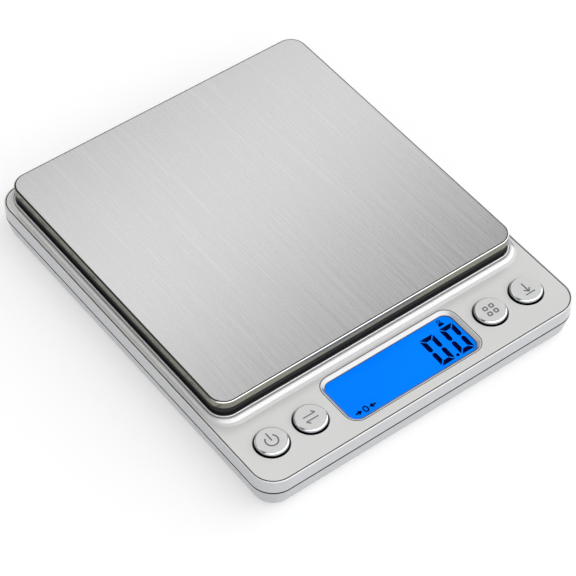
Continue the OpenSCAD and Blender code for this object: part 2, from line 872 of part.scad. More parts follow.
// A conical wire spring along +Z
module cone_spring(length, base_r, tip_r) {
    rings = spring_turns * spring_steps;
    points = [for (i = [0:rings]) each spring_ring(i / rings, length, base_r, tip_r)];
    walls = [for (i = [0:rings - 1], j = [0:spring_sides - 1])
        let (next = (j + 1) % spring_sides, a = i * spring_sides, b = a + spring_sides)
        each [[a + j, a + next, b + next], [a + j, b + next, b + j]]];
    start_cap = [for (j = [spring_sides - 1:-1:0]) j];
    end_cap = [for (j = [0:spring_sides - 1]) rings * spring_sides + j];
    polyhedron(points = points, faces = concat([start_cap, end_cap], walls));
}

// The spring that presses on a cell's flat end
module contact_spring(plate_side, y) {
    cell_end_x = cell_l - contact_x + dimple_l;
    length = contact_x - cell_end_x - 2 * spring_wire_r - 0.1;
    color([0.80, 0.80, 0.78])
    translate([plate_side * (contact_x - spring_wire_r - 0.05), y, cell_z])
        rotate([0, -90 * plate_side, 0]) cone_spring(length, 4, 2.6);
}

module contact_spring_front() contact_spring(-1, cell_y[0]);
module contact_spring_rear() contact_spring(1, cell_y[1]);

// Left-hand contact with a solder tab that passes out through the bay wall
module contact_plate(y) {
    box([-contact_x - contact_t, y - contact_w / 2, contact_z],
        [-contact_x, y + contact_w / 2, contact_top_z]);
    box([-contact_x - contact_t - 2.4, y - tab_w / 2, tab_z],
        [-contact_x, y + tab_w / 2, tab_z + contact_t]);
}

module dimple(side, y) {
    tip_x = contact_x - dimple_l;
    translate([side * contact_x, y, cell_z]) rotate([0, -90 * side, 0])
        cylinder(r1 = 2.6, r2 = 1.6, h = contact_x - tip_x);
}

module contact_plate_front() {
    color([0.80, 0.80, 0.78]) contact_plate(cell_y[0]);
}

module contact_plate_rear() {
    color([0.80, 0.80, 0.78]) {
        contact_plate(cell_y[1]);
        dimple(-1, cell_y[1]);
    }
}

// Right-hand contact that joins the two cells
module contact_bridge() {
    color([0.80, 0.80, 0.78]) {
        box([contact_x, cell_y[0] - contact_w / 2, contact_z],
            [contact_x + contact_t, cell_y[1] + contact_w / 2, contact_top_z]);
        dimple(1, cell_y[0]);
    }
}

// A round wire through a list of points, with a slight swelling at each bend
module wire(points, r) {
    bend_r = 1.06 * r;
    for (i = [0:len(points) - 2]) {
        run = points[i + 1] - points[i];
        yaw = atan2(run[1], run[0]);
        pitch = acos(run[2] / norm(run));
        translate(points[i]) rotate([0, pitch, yaw]) cylinder(r = r, h = norm(run), $fn = 24);
        if (i > 0)
            translate(points[i]) sphere(bend_r, $fn = 24);
    }
}

// A lead from a contact's tab along the floor to the circuit board
module battery_lead(y, run_x, end_x) {
    tab_x = -contact_x - contact_t - 1.8;
    wire([[tab_x, y, tab_z - lead_r], [run_x, y - 6, floor_z + 3], [run_x, 0, floor_z + lead_r + 0.1],
          [run_x, -30, floor_z + lead_r + 0.1], [end_x, lead_end_y + 3, pcb_top_z + lead_r + 0.2],
          [end_x, lead_end_y, pcb_top_z + lead_r]], lead_r);
}

module battery_lead_front() {
    color([0.75, 0.08, 0.08]) battery_lead(cell_y[0], -32, -27);
}

module battery_lead_rear() {
    color([0.06, 0.06, 0.06]) battery_lead(cell_y[1], -35, -30);
}

module load_cell_wires() {
    color([0.85, 0.85, 0.85])
    for (i = [0:3]) {
        x = 26 + i * gauge_wire_pitch;
        start_x = i * gauge_wire_pitch - 1.5;
        wire([[start_x, pan_y - beam_w / 2 - gauge_wire_r - 0.1, beam_z + 3],
              [start_x, -4, floor_z + 1],
              [x, -24, floor_z + 1],
              [x, lead_end_y + 3, pcb_top_z + gauge_wire_r + 0.2],
              [x, lead_end_y, pcb_top_z + gauge_wire_r]], gauge_wire_r);
    }
}

lower_housing();
upper_housing();
battery_door();
foot_front_left();
foot_front_right();
foot_rear_left();
foot_rear_right();
housing_screws();
platform_plate();
pan_tape_pads();
pan_support();
cell_pan_screws();
load_cell();
strain_gauge_covers();
cell_base_screws();
overload_stop_screw();
display_window();
lcd_glass();
lcd_frame();
backlight_guide();
backlight_led();
zebra_strip();
button_power();
button_mode();
button_count();
button_tare();
plunger_power();
plunger_mode();
plunger_count();
plunger_tare();
tact_switches();
main_pcb();
controller_blob();
pcb_screws();
battery_cells();
contact_spring_front();
contact_spring_rear();
contact_plate_front();
contact_plate_rear();
contact_bridge();
battery_lead_front();
battery_lead_rear();
load_cell_wires();
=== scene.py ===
"""Looks for the digital gram scale. Metres, in the CAD model's frame: +X right, +Y rear, +Z up."""

import math

import bmesh
import bpy
from mathutils import Matrix, Vector


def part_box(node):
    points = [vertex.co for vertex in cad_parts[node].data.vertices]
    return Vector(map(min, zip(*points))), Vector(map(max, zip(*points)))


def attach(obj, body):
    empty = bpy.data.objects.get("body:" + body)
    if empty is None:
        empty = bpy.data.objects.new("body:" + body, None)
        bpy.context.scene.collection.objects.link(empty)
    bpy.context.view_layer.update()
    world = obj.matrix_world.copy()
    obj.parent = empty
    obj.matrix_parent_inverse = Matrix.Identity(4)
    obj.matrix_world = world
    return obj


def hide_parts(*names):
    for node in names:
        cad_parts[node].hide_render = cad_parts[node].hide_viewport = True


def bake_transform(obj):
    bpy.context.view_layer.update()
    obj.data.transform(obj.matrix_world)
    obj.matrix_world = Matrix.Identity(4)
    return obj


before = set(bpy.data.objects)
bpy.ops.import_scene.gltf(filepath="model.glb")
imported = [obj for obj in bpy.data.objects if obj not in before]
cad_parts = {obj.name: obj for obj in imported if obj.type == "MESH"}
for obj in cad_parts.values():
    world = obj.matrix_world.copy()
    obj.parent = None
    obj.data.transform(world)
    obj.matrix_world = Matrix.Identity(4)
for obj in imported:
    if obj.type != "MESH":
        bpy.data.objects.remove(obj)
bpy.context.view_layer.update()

MM = 0.001

# ---------------------------------------------------------------------------------------------
# Features of the CAD parts that the materials are placed by
# ---------------------------------------------------------------------------------------------

DECK_Z = 12.6 * MM                        # height of the deck above the table
PARTING_Z = 8 * MM                        # height of the joint between the two housing halves
HOUSING_R = 7 * MM                        # corner radius of the housing, seen from above
PLATFORM_R = 5 * MM                       # corner radius of the platform, seen from above
WINDOW_HALF = (22.2 * MM, 8.2 * MM)       # half the width and depth of the window at the deck
WINDOW_R = 3.6 * MM                       # corner radius of the window
DECK_GROOVE = (0.31 * MM, 0.69 * MM)      # the groove's two edges, inwards from the housing's outline
WINDOW_GROOVE = (-0.52 * MM, -0.20 * MM)  # the groove's two edges, inwards from the window's outline
KEYS = ["button_power", "button_mode", "button_count", "button_tare"]
KEY_FLANGE_R = 5.6 * MM                   # radius of the flange that holds a key under the deck
SIGN_DEPTH = 0.3 * MM                     # depth of a key's engraved sign under its top

# ---------------------------------------------------------------------------------------------
# Node helpers
# ---------------------------------------------------------------------------------------------

BEVEL_SAMPLES = 6


class Nodes:
    """A node tree under construction, with short ways to add to it."""

    def __init__(self, tree):
        self.tree = tree

    def feed(self, socket, value):
        """Fills a socket with a value or another node's output."""
        if isinstance(value, bpy.types.NodeSocket):
            self.tree.links.new(value, socket)
        else:
            socket.default_value = value

    def node(self, kind, **inputs):
        """Adds a node and fills its inputs by name."""
        made = self.tree.nodes.new(kind)
        for name, value in inputs.items():
            self.feed(made.inputs[name], value)
        return made

    def math(self, operation, a, b=0.0):
        """One step of arithmetic on one or two values."""
        made = self.node("ShaderNodeMath")
        made.operation = operation
        self.feed(made.inputs[0], a)
        self.feed(made.inputs[1], b)
        return made.outputs[0]

    def remap(self, value, low, high, from_low=0.0, from_high=1.0):
        """Maps a value from one range to another, held inside it."""
        made = self.node("ShaderNodeMapRange", Value=value)
        made.inputs["From Min"].default_value = from_low
        made.inputs["From Max"].default_value = from_high
        made.inputs["To Min"].default_value = low
        made.inputs["To Max"].default_value = high
        return made.outputs["Result"]

    def ramp(self, value, start, end):
        """Rises from 0 where the value is at start to 1 where it is at end."""
        return self.remap(value, 0.0, 1.0, start, end)

    def average(self, a, b, share):
        """Two patterns added up, with that share of the first."""
        return self.math("ADD", self.math("MULTIPLY", a, share), self.math("MULTIPLY", b, 1 - share))

    def both(self, mask, *others):
        """1 where every mask is 1."""
        for other in others:
            mask = self.math("MULTIPLY", mask, other)
        return mask

    def either(self, mask, *others):
        """1 where any mask is 1."""
        for other in others:
            mask = self.math("MAXIMUM", mask, other)
        return mask

    def between(self, value, low, high):
        """1 where a value lies between two limits."""
        return self.both(self.math("GREATER_THAN", value, low), self.math("LESS_THAN", value, high))


class Shader(Nodes):
    """A material under construction: a principled shader and the patterns that feed it."""

    def __init__(self, name, **values):
        self.material = bpy.data.materials.new(name)
        self.material.use_nodes = True
        super().__init__(self.material.node_tree)
        self.surface = self.tree.nodes["Principled BSDF"]
        for socket, value in values.items():
            self.surface.inputs[socket.replace("_", " ")].default_value = value

    def link(self, output, socket):
        """Feeds a shader input from a node's output."""
        self.tree.links.new(output, self.surface.inputs[socket])

    def place(self, scale=(1, 1, 1)):
        """The point in the piece's own frame, stretched by a scale for each axis."""
        where = self.node("ShaderNodeTexCoord").outputs["Object"]
        mapping = self.node("ShaderNodeMapping", Vector=where)
        mapping.inputs["Scale"].default_value = scale
        return mapping.outputs["Vector"]

    def noise(self, scale, detail=2.0, roughness=0.5):
        """Noise from 0 to 1. The scale is cells a metre, as one number or one for each axis."""
        stretch = scale if isinstance(scale, tuple) else (scale, scale, scale)
        made = self.node("ShaderNodeTexNoise", Vector=self.place(stretch), Scale=1.0, Detail=detail,
                         Roughness=roughness)
        return made.outputs["Fac"]

    def mix(self, factor, a, b):
        """A colour between a and b."""
        made = self.node("ShaderNodeMix")
        made.data_type = "RGBA"
        share, first, second, color = made.inputs[0], made.inputs[6], made.inputs[7], made.outputs[2]
        self.feed(share, factor)
        for socket, value in ((first, a), (second, b)):
            self.feed(socket, value if isinstance(value, bpy.types.NodeSocket) else (*value[:3], 1.0))
        return color

    def axis(self, name):
        """One coordinate of the point in the piece's own frame, in metres."""
        return self.node("ShaderNodeSeparateXYZ", Vector=self.place()).outputs[name]

    def facing(self, name):
        """The cosine of the surface's angle from an axis: for Z, 1 on a level top and 0 on a side."""
        normal = self.node("ShaderNodeNewGeometry").outputs["Normal"]
        return self.node("ShaderNodeSeparateXYZ", Vector=normal).outputs[name]

    def finish(self, heights=(), edge=0.0):
        """Adds the relief: a rounded edge of that radius, and bumps as (height, strength, depth)."""
        normal = None
        if edge:
            bevel = self.node("ShaderNodeBevel", Radius=edge)
            bevel.samples = BEVEL_SAMPLES
            normal = bevel.outputs["Normal"]
        for height, strength, depth in heights:
            bump = self.node("ShaderNodeBump", Height=height, Strength=strength, Distance=depth)
            if normal:
                self.tree.links.new(normal, bump.inputs["Normal"])
            normal = bump.outputs["Normal"]
        if normal:
            self.link(normal, "Normal")
        return self.material


def scaled(color, share):
    """A colour made darker or lighter by a factor."""
    return [part * share for part in color]


def grey(level):
    """A colour with no tint."""
    return (level, level, level)


# ---------------------------------------------------------------------------------------------
# Painted housing
# ---------------------------------------------------------------------------------------------

UPPER_SILVER = (0.705, 0.690, 0.670)
# painted shade: the upper housing's sides are darker and cooler than its top
UPPER_SIDE_SHADED = (0.520, 0.525, 0.535)
LOWER_SILVER = (0.450, 0.455, 0.468)
# painted dark reflection on the rounded edges to the rear and the right
EDGE_REFLECTION_GREY = grey(0.25)
# painted shade: near black in the gaps, grooves, holes and under the platform
PAINTED_GAP_SHADE = (0.025, 0.025, 0.027)
FLAKES = 9000                          # metallic flakes a metre
FLAKE_DEPTH = 0.01 * MM
ORANGE_PEEL = 900                      # ripples a metre
PEEL_DEPTH = 0.05 * MM
JOINT_REACH = 0.5 * MM                 # how far the joint's faces with painted shade reach above and below it
GROOVE_SPAN = (0.04 * MM, 0.5 * MM)    # part of the fine grooves with painted shade, as two depths under the deck
BEVEL_SPAN = (0.84 * MM, 1.7 * MM)     # part of the window's bevel with painted shade, likewise
HOLE_SPAN = (0.15 * MM, 2 * MM)        # part of the key holes with painted shade, likewise
PLATEAU_RISE = 0.8 * MM                # the plateau with painted shade is higher than this above the deck


def silver_paint(name, color, side):
    """Satin silver paint on moulded plastic with metallic flakes and orange peel. Painted shade: near
    black in its gaps, and a darker colour of its own on the sides; painted dark reflection on the far
    edges."""
    s = Shader(name, Metallic=0.3, Coat_Weight=0.2, Coat_Roughness=0.12)
    flakes = s.noise(FLAKES, detail=1.0)
    clouds = s.noise(60, detail=3.0)
    tone = s.ramp(s.average(flakes, clouds, 0.75), 0.3, 0.7)
    top_paint = s.mix(tone, scaled(color, 0.955), scaled(color, 1.035))
    shaded_side_paint = s.mix(tone, scaled(side, 0.955), scaled(side, 1.035))
    # painted shade: the sides take the darker side colour
    paint = s.mix(s.ramp(s.facing("Z"), 0.1, 0.6), shaded_side_paint, top_paint)
    # painted dark reflection on the far rounded edges
    paint = s.mix(far_edge_reflection(s), paint, EDGE_REFLECTION_GREY)
    # painted shade: gaps, grooves, holes and the plateau under the platform go near black
    bare = s.either(under_platform(s), housing_joint(s), fine_grooves(s), window_edge(s), key_holes(s))
    s.link(s.mix(bare, paint, PAINTED_GAP_SHADE), "Base Color")
    s.link(s.remap(clouds, 0.28, 0.36), "Roughness")
    relief = [(s.noise(ORANGE_PEEL), 0.05, PEEL_DEPTH), (flakes, 0.04, FLAKE_DEPTH)]
    return s.finish(relief, edge=0.06 * MM)


def far_edge_reflection(s):
    """1 on the rounded edges to the rear and the right, which get a painted dark reflection."""
    up = s.facing("Z")
    away = s.math("ADD", s.facing("X"), s.facing("Y"))
    return s.both(s.ramp(up, 0.98, 0.93), s.ramp(up, 0.1, 0.3), s.ramp(away, 0.15, 0.35))


def under_platform(s):
    """1 on the raised area that the platform covers: painted shade, near black."""
    covered = inside(s, *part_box("platform_plate"), PLATFORM_R)
    return s.both(covered, s.math("GREATER_THAN", s.axis("Z"), DECK_Z + PLATEAU_RISE))


def housing_joint(s):
    """1 on the level faces of the joint between the housing halves: painted shade, near black."""
    level = s.math("GREATER_THAN", s.math("ABSOLUTE", s.facing("Z")), 0.9)
    return s.both(level, s.between(s.axis("Z"), PARTING_Z - JOINT_REACH, PARTING_Z + JOINT_REACH))


def fine_grooves(s):
    """1 in the groove round the deck and in the one round the window: painted shade, near black."""
    deck = ring(s, *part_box("upper_housing"), HOUSING_R, DECK_GROOVE)
    window = ring(s, *window_box(), WINDOW_R, WINDOW_GROOVE)
    return s.both(below_deck(s, GROOVE_SPAN), s.either(deck, window))


def window_edge(s):
    """1 on the inner edge of the window's bevel: painted shade, near black."""
    return s.both(below_deck(s, BEVEL_SPAN), inside(s, *window_box(), WINDOW_R))


def key_holes(s):
    """1 inside the key holes, below the deck: painted shade, near black."""
    holes = [inside(s, *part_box(key), KEY_FLANGE_R) for key in KEYS]
    return s.both(below_deck(s, HOLE_SPAN), s.either(*holes))


def below_deck(s, span):
    """1 at the heights between two depths under the deck."""
    return s.between(s.axis("Z"), DECK_Z - span[1], DECK_Z - span[0])


def window_box():
    """Two opposite corners of the window, seen from above."""
    low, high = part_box("display_window")
    middle = [(low[axis] + high[axis]) / 2 for axis in (0, 1)]
    return ([middle[axis] - WINDOW_HALF[axis] for axis in (0, 1)],
            [middle[axis] + WINDOW_HALF[axis] for axis in (0, 1)])


def ring(s, low, high, corner, reach):
    """1 between two outlines that lie inside a round-cornered box by the two distances."""
    outer, inner = reach
    return s.math("SUBTRACT", inside(s, low, high, corner, outer), inside(s, low, high, corner, inner))


def inside(s, low, high, corner, shrink=0.0):
    """1 inside a box with round corners, seen from above, that is smaller all round by a distance."""
    square = 0.0
    for axis in (0, 1):
        offset = s.math("SUBTRACT", s.axis("XY"[axis]), (low[axis] + high[axis]) / 2)
        straight = (high[axis] - low[axis]) / 2 - corner
        past = s.math("MAXIMUM", s.math("SUBTRACT", s.math("ABSOLUTE", offset), straight), 0.0)
        square = s.math("ADD", s.math("MULTIPLY", past, past), square)
    return s.math("LESS_THAN", square, (corner - shrink) ** 2)


# ---------------------------------------------------------------------------------------------
# Keys
# ---------------------------------------------------------------------------------------------

# painted shade on the floor of the engraved sign
SIGN_SHADE = grey(0.16)
SIGN_REACH = 0.05 * MM           # how far from the sign's floor a point still counts as on it


def key_paint():
    """Satin on top, glossy on the rounded edge, with painted shade in the engraved sign and below the
    deck.
    """
    dark_satin, light_satin, gloss = (0.645, 0.64, 0.62), (0.705, 0.695, 0.675), (0.86, 0.87, 0.88)
    s = Shader("key_paint", Coat_Weight=0.15, Coat_Roughness=0.15)
    top = s.ramp(s.facing("Z"), 0.95, 0.995)
    flakes = s.noise(FLAKES, detail=1.0)
    cap = s.mix(top, gloss, s.mix(flakes, dark_satin, light_satin))
    sign_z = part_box("button_power")[1][2] - SIGN_DEPTH
    sign = s.between(s.axis("Z"), sign_z - SIGN_REACH, sign_z + SIGN_REACH)
    # painted shade: near black on the cap's sides below the deck, dark grey on the sign's floor
    below = s.math("LESS_THAN", s.axis("Z"), DECK_Z)
    s.link(s.mix(below, s.mix(sign, cap, SIGN_SHADE), PAINTED_GAP_SHADE), "Base Color")
    s.link(s.remap(top, 1.0, 0.35), "Metallic")
    s.link(s.remap(top, 0.12, 0.36), "Roughness")
    return s.finish([(flakes, s.math("MULTIPLY", top, 0.03), FLAKE_DEPTH)])


# ---------------------------------------------------------------------------------------------
# Platform
# ---------------------------------------------------------------------------------------------


def brushed_steel():
    """Stainless sheet brushed from front to rear, with fine scratches; its polished rolled edge has
    painted reflections.
    """
    dark, light, scratched = grey(0.47), grey(0.60), grey(0.62)
    s = Shader("brushed_steel", Metallic=1.0, Anisotropic=0.9)
    hair = s.noise((4600, 70, 70), detail=2.0, roughness=0.6)
    streak = s.noise((2100, 26, 26), detail=2.0)
    scratch = s.remap(s.noise((2600, 30, 30), detail=1.0), 0.0, 0.4, 0.58, 0.74)
    grain = s.average(hair, streak, 0.45)
    top = s.ramp(s.facing("Z"), 0.990, 0.9995)
    brushed = s.mix(scratch, s.mix(s.ramp(grain, 0.25, 0.75), dark, light), scratched)
    # painted reflection: dark and bright lines painted on the rolled edge
    s.link(s.mix(top, rolled_edge_reflection(s), brushed), "Base Color")
    roughness = s.math("MULTIPLY", s.remap(grain, 0.24, 0.32, 0.3, 0.7), s.remap(top, 0.75, 1.0))
    s.link(roughness, "Roughness")
    s.link(s.node("ShaderNodeCombineXYZ", X=1.0).outputs[0], "Tangent")
    return s.finish([(hair, 0.10, 0.01 * MM), (streak, 0.06, 0.02 * MM)])


def rolled_edge_reflection(s):
    """Colour of the sheet's rolled edge, all painted reflection, from the top down: a dark line where
    the top turns down, then a bend with a painted highlight on the front only, then a dull olive part."""
    dark, dull = (0.035, 0.03, 0.027), (0.25, 0.245, 0.20)
    dark_reflection_bend, highlight_bend = (0.16, 0.155, 0.14), (0.85, 0.84, 0.80)
    up = s.facing("Z")
    bend = s.mix(s.ramp(s.facing("Y"), -0.05, -0.3), dark_reflection_bend, highlight_bend)
    below = s.mix(s.ramp(up, 0.4, 0.55), dull, bend)
    return s.mix(s.ramp(up, 0.83, 0.88), below, dark)


# ---------------------------------------------------------------------------------------------
# Plastic, rubber and metal
# ---------------------------------------------------------------------------------------------


def moulded_plastic(name, color, roughness=0.55, grain=1600):
    """Plain moulded plastic with a spark-eroded grain and faint flow marks."""
    s = Shader(name)
    flow = s.noise((40, 90, 90), detail=3.0)
    s.link(s.mix(flow, scaled(color, 0.82), color), "Base Color")
    s.link(s.remap(flow, roughness - 0.06, roughness + 0.06), "Roughness")
    return s.finish([(s.noise(grain, detail=3.0), 0.25, 0.03 * MM)], edge=0.1 * MM)


def rubber(name, color):
    """Soft rubber: matt, dusty in patches, with a fine tooth."""
    s = Shader(name)
    dust = s.noise(260, detail=4.0)
    dusty = [part + 0.05 for part in color]
    s.link(s.mix(s.ramp(dust, 0.45, 0.75), color, dusty), "Base Color")
    s.link(s.remap(dust, 0.72, 0.9), "Roughness")
    return s.finish([(s.noise(2400, detail=2.0), 0.35, 0.04 * MM)], edge=0.25 * MM)


def machined_metal(name, color, lines=(60, 60, 3000), roughness=0.3):
    """Bare metal with the fine parallel marks of its last cut and a little tarnish."""
    s = Shader(name, Metallic=1.0)
    marks = s.noise(lines, detail=2.0)
    tarnish = s.noise(180, detail=3.0)
    tone = s.ramp(s.average(marks, tarnish, 0.5), 0.3, 0.7)
    s.link(s.mix(tone, scaled(color, 0.8), color), "Base Color")
    s.link(s.remap(tarnish, roughness - 0.08, roughness + 0.12), "Roughness")
    return s.finish([(marks, 0.15, 0.01 * MM)], edge=0.06 * MM)


def soft_coating(name, color):
    """Silicone, foam tape or wire insulation: smooth, a little uneven and slightly waxy."""
    s = Shader(name, Subsurface_Weight=0.08, Subsurface_Scale=0.6 * MM)
    lumps = s.noise(700, detail=2.0)
    s.link(s.mix(lumps, scaled(color, 0.9), color), "Base Color")
    s.link(s.remap(lumps, 0.42, 0.6), "Roughness")
    return s.finish([(lumps, 0.2, 0.05 * MM)])


# ---------------------------------------------------------------------------------------------
# Display, board and battery
# ---------------------------------------------------------------------------------------------

BARE_END = (20.6 * MM, 20.9 * MM)    # where a cell's film ends, from the middle of the cell


def clear_lens():
    """Clear window with the faintest smear."""
    tint = (0.97, 0.985, 1.0)
    s = Shader("clear_lens", Transmission_Weight=1.0, IOR=1.06)
    smear = s.noise(90, detail=3.0)
    s.link(s.remap(smear, 0.0, 0.03, 0.45, 0.8), "Roughness")
    s.link(s.mix(smear, tint, grey(1.0)), "Base Color")
    return s.material


def lit_display():
    """The lit display: blue on its front, a shade brighter in places, and plain glass at its edges."""
    deep_blue, bright_blue = (0.0, 0.165, 0.93), (0.0, 0.225, 1.0)
    glass_edge, unlit_front = (0.20, 0.28, 0.30), (0.0, 0.02, 0.10)
    s = Shader("lit_display", Roughness=0.25, Emission_Strength=1.0, Specular_IOR_Level=0.02)
    front = s.ramp(s.facing("Z"), 0.5, 0.9)
    grid = s.noise(5200, detail=0.0)
    wash = s.noise((26, 60, 60), detail=1.0)
    blue = s.mix(s.average(wash, grid, 0.8), deep_blue, bright_blue)
    s.link(s.mix(front, glass_edge, unlit_front), "Base Color")
    s.link(s.mix(front, grey(0.0), blue), "Emission Color")
    return s.material


def display_ink():
    """Dark segments of the display, with the light behind bleeding through a little."""
    dark_ink, light_ink = (0.0, 0.001, 0.020), (0.0, 0.001, 0.030)
    dark_glow, light_glow = (0.0, 0.0, 0.010), (0.0, 0.0, 0.018)
    s = Shader("display_ink", Roughness=0.35, Emission_Strength=1.0, Specular_IOR_Level=0.02)
    bleed = s.noise(700, detail=2.0)
    s.link(s.mix(bleed, dark_ink, light_ink), "Base Color")
    s.link(s.mix(bleed, dark_glow, light_glow), "Emission Color")
    return s.material


def light_guide():
    """Clear acrylic slab with a printed pattern of small spots."""
    tint = (0.85, 0.92, 1.0)
    s = Shader("light_guide", Transmission_Weight=0.85, IOR=1.49)
    dots = s.noise(1500, detail=0.0)
    s.link(s.mix(s.ramp(dots, 0.45, 0.55), tint, grey(1.0)), "Base Color")
    s.link(s.remap(dots, 0.08, 0.3), "Roughness")
    return s.finish(edge=0.08 * MM)


def circuit_board():
    """Green solder mask over copper tracks, on glass fibre."""
    dark_mask, light_mask = (0.008, 0.085, 0.030), (0.014, 0.120, 0.045)
    over_copper = (0.03, 0.19, 0.075)
    s = Shader("circuit_board", Coat_Weight=0.4, Coat_Roughness=0.2)
    weave = s.noise(2600, detail=1.0)
    track = s.ramp(s.noise((330, 330, 10), detail=0.0), 0.50, 0.53)
    s.link(s.mix(track, s.mix(weave, dark_mask, light_mask), over_copper), "Base Color")
    s.link(s.remap(weave, 0.35, 0.5), "Roughness")
    return s.finish([(track, 0.3, 0.03 * MM)])


def cell_sleeve():
    """A plain battery: printed film on its barrel, bare steel at both ends."""
    film, scuffed_film, steel = (0.10, 0.13, 0.17), (0.15, 0.19, 0.24), (0.66, 0.65, 0.62)
    s = Shader("cell_sleeve", Coat_Weight=0.5, Coat_Roughness=0.12)
    end = s.ramp(s.math("ABSOLUTE", s.axis("X")), *BARE_END)
    scuff = s.noise(420, detail=4.0)
    barrel = s.mix(s.ramp(scuff, 0.4, 0.7), film, scuffed_film)
    s.link(s.mix(end, barrel, steel), "Base Color")
    s.link(s.remap(end, 0.55, 1.0), "Metallic")
    s.link(s.remap(scuff, 0.24, 0.4), "Roughness")
    return s.finish([(scuff, 0.06, 0.03 * MM)])


# ---------------------------------------------------------------------------------------------
# Which piece is made of what
# ---------------------------------------------------------------------------------------------


def shade(name, material):
    """Gives a CAD node its material."""
    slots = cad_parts[name].data.materials
    slots.clear()
    slots.append(material)


def shade_everything():
    """Gives every CAD node its material."""
    screw = machined_metal("screw_steel", (0.62, 0.62, 0.61), (900, 900, 900), 0.26)
    contact = machined_metal("contact_nickel", (0.74, 0.72, 0.66), (300, 300, 300), 0.24)
    switch = moulded_plastic("switch_plastic", (0.045, 0.045, 0.05), 0.4, grain=3000)
    foot = rubber("foot_rubber", (0.035, 0.035, 0.038))
    lower_silver = silver_paint("silver_paint_lower", LOWER_SILVER, LOWER_SILVER)
    by_material = {
        silver_paint("silver_paint", UPPER_SILVER, UPPER_SIDE_SHADED): ["upper_housing"],
        lower_silver: ["lower_housing", "battery_door"],
        brushed_steel(): ["platform_plate"],
        key_paint(): KEYS,
        moulded_plastic("carrier_plastic", (0.007, 0.007, 0.008), 0.6): ["pan_support"],
        moulded_plastic("white_plastic", (0.78, 0.78, 0.76), 0.4): ["lcd_frame"],
        moulded_plastic("epoxy_black", grey(0.012), 0.22, grain=500): ["controller_blob"],
        machined_metal("beam_aluminium", (0.80, 0.81, 0.82)): ["load_cell"],
        rubber("zebra_rubber", (0.50, 0.18, 0.26)): ["zebra_strip"],
        switch: ["tact_switches", "plunger_power", "plunger_mode", "plunger_count", "plunger_tare"],
        foot: ["foot_front_left", "foot_front_right", "foot_rear_left", "foot_rear_right"],
        screw: ["housing_screws", "cell_base_screws", "cell_pan_screws", "overload_stop_screw",
                "pcb_screws"],
        contact: ["contact_spring_front", "contact_spring_rear", "contact_plate_front",
                  "contact_plate_rear", "contact_bridge"],
        circuit_board(): ["main_pcb"],
        cell_sleeve(): ["battery_cells"],
        clear_lens(): ["display_window"],
        lit_display(): ["lcd_glass"],
        light_guide(): ["backlight_guide"],
        soft_coating("led_resin", (0.85, 0.80, 0.55)): ["backlight_led"],
        soft_coating("foam_tape", (0.80, 0.80, 0.76)): ["pan_tape_pads"],
        soft_coating("gauge_coating", (0.86, 0.86, 0.82)): ["strain_gauge_covers"],
        soft_coating("wire_red", (0.50, 0.02, 0.02)): ["battery_lead_front"],
        soft_coating("wire_black", grey(0.02)): ["battery_lead_rear"],
        soft_coating("wire_white", grey(0.75)): ["load_cell_wires"],
    }
    for material, names in by_material.items():
        for name in names:
            shade(name, material)


# ---------------------------------------------------------------------------------------------
# Display segments
# ---------------------------------------------------------------------------------------------

INK_T = 0.04 * MM                      # thickness of the segments
INK_GAP = 0.02 * MM                    # gap between the segments and the glass
DIGIT_LEFT_X = (9.5 * MM, 16.2 * MM)   # left sides of the two digits
DIGIT_BASE_Y = -57.0 * MM              # the line that the digits stand on
DIGIT_W = 4.6 * MM
DIGIT_H = 10.2 * MM
STROKE = 1.4 * MM
SEGMENT_GAP = 0.16 * MM
OUTER_TRIM = 1.2 * SEGMENT_GAP         # how far a level stroke's outer side is cut short at each end
INNER_TRIM = 0.4 * OUTER_TRIM          # how much more than a stroke's width its inner side is
POINT_LENGTH = 0.45 * STROKE           # length of an upright stroke's pointed end
SHOULDER_OUT = 0.275 * STROKE          # the point's two shoulders: distance from its middle line
SHOULDER_BACK = 0.3 * POINT_LENGTH     # and distance back from its tip
SLANT = 0.03                           # lean of the digits: sideways for each step up
DOT_X = 15.25 * MM                     # middle of the decimal point
DOT_RISE = 0.55 * MM                   # from the line to its middle
DOT_R = 0.5 * MM
ZERO_MARK = (-15.6 * MM, -56.1 * MM)   # middle of the zero sign
OVAL_REACH = (0.85 * MM, 1.1 * MM)
OVAL_STROKE = 0.42 * MM
ARROW_TIP = 1.2 * MM                   # from the middle of the zero sign
ARROW_TAIL = 3.3 * MM
ARROW_HALF = 0.85 * MM                 # half the width of an arrow's head
ARROW_STEM = 0.26 * MM                 # half the width of its stem
ARROW_HEAD = 1.4                       # length of its head, in half widths
WEIGHT_MARK = (18.3 * MM, -46.1 * MM)  # middle of the weight's foot
WEIGHT_FOOT = 0.95 * MM                # half the width of its foot
WEIGHT_TOP = 0.7 * MM                  # half the width of its top
WEIGHT_H = 0.95 * MM
KNOB_RISE = 1.55 * MM                  # from the foot to the middle of the knob
KNOB_REACH = (0.62 * MM, 0.55 * MM)
KNOB_STROKE = 0.28 * MM


def add_polygon(mesh, outline, z):
    """Adds a thin plate with that outline to a bmesh."""
    low = [mesh.verts.new((x, y, z)) for x, y in outline]
    face = mesh.faces.new(low)
    raised = bmesh.ops.extrude_face_region(mesh, geom=[face])["geom"]
    verts = [part for part in raised if isinstance(part, bmesh.types.BMVert)]
    bmesh.ops.translate(mesh, verts=verts, vec=(0, 0, INK_T))


def add_band(mesh, middle, reach, width, z):
    """Adds a thin oval ring to a bmesh."""
    inner = [half - width for half in reach]
    loops = []
    for (rx, ry), height in ((reach, z), (reach, z + INK_T), (inner, z + INK_T), (inner, z)):
        loops.append([mesh.verts.new((*point, height)) for point in oval(middle, rx, ry)])
    for low, high in zip(loops, loops[1:] + loops[:1]):
        for i in range(len(low)):
            mesh.faces.new((low[i - 1], low[i], high[i], high[i - 1]))


